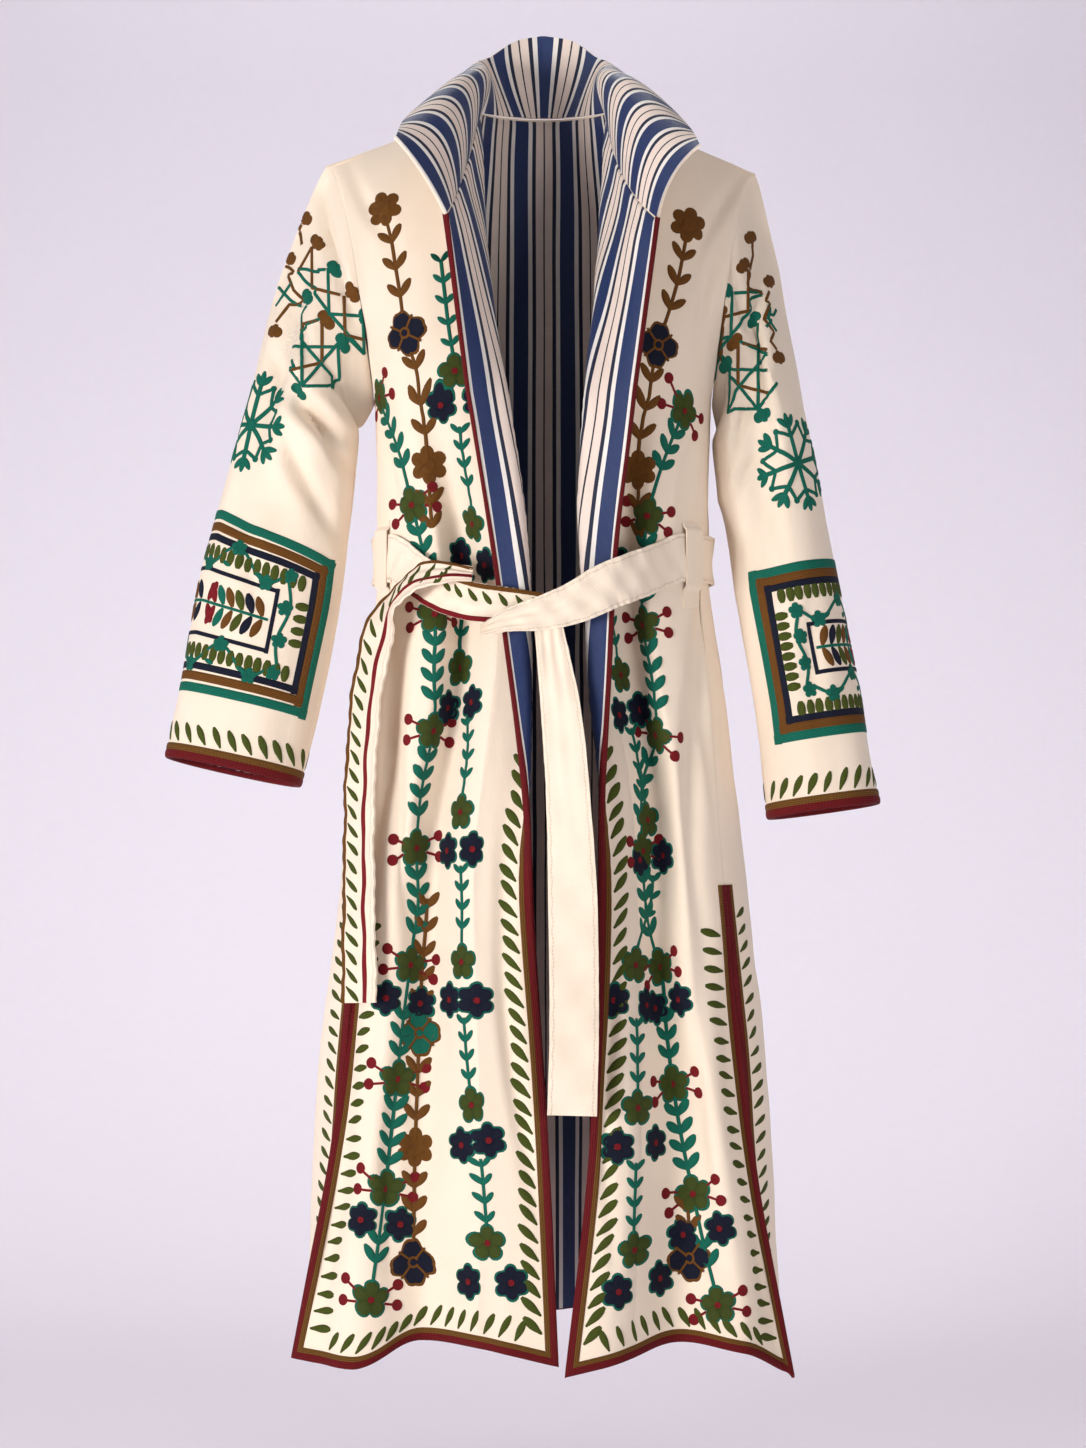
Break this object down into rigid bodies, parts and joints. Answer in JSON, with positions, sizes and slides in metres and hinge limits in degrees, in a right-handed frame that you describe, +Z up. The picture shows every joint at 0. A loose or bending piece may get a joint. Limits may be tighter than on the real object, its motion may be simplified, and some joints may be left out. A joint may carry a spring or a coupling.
{
  "type": "belted embroidered coat",
  "caption": "Long open coat worn hollow, with a turned collar, striped lining, wide sleeves, side slits and a belt half knotted in front",
  "frame": {"origin": "inside the neck opening, level with the side neck seams, where the shoulders of the wearer hold the coat up", "axes": "+Z up along the wearer, the front with the opening faces -Y, +X to the viewer's right when the front is looked at"},
  "size_m": [0.689, 0.3124, 1.3],
  "materials": {
    "cream_cloth": "soft cream velvet cloth",
    "striped_lining": "woven blue and white stripes",
    "red_braid": "stitched dark red and brown braid",
    "belt_cloth": "quilted cream velvet cloth"
  },
  "bodies": {
    "root": {"front_left": "cream_cloth", "front_right": "cream_cloth", "back": "cream_cloth", "sleeve_left": "cream_cloth", "sleeve_right": "cream_cloth", "collar": "cream_cloth", "collar_lining": "striped_lining", "lining_back": "striped_lining", "lining_front_left": "striped_lining", "lining_front_right": "striped_lining", "binding_left": "red_braid", "binding_right": "red_braid", "braid_front_left": "red_braid", "braid_front_right": "red_braid", "braid_back": "red_braid", "cuff_braid_left": "red_braid", "cuff_braid_right": "red_braid", "belt_back": "belt_cloth", "belt_left": "belt_cloth", "belt_right": "belt_cloth", "belt_end_left": "belt_cloth", "belt_end_center": "belt_cloth", "belt_loop_left": "belt_cloth", "belt_loop_right": "belt_cloth"}
  },
  "joints": []
}
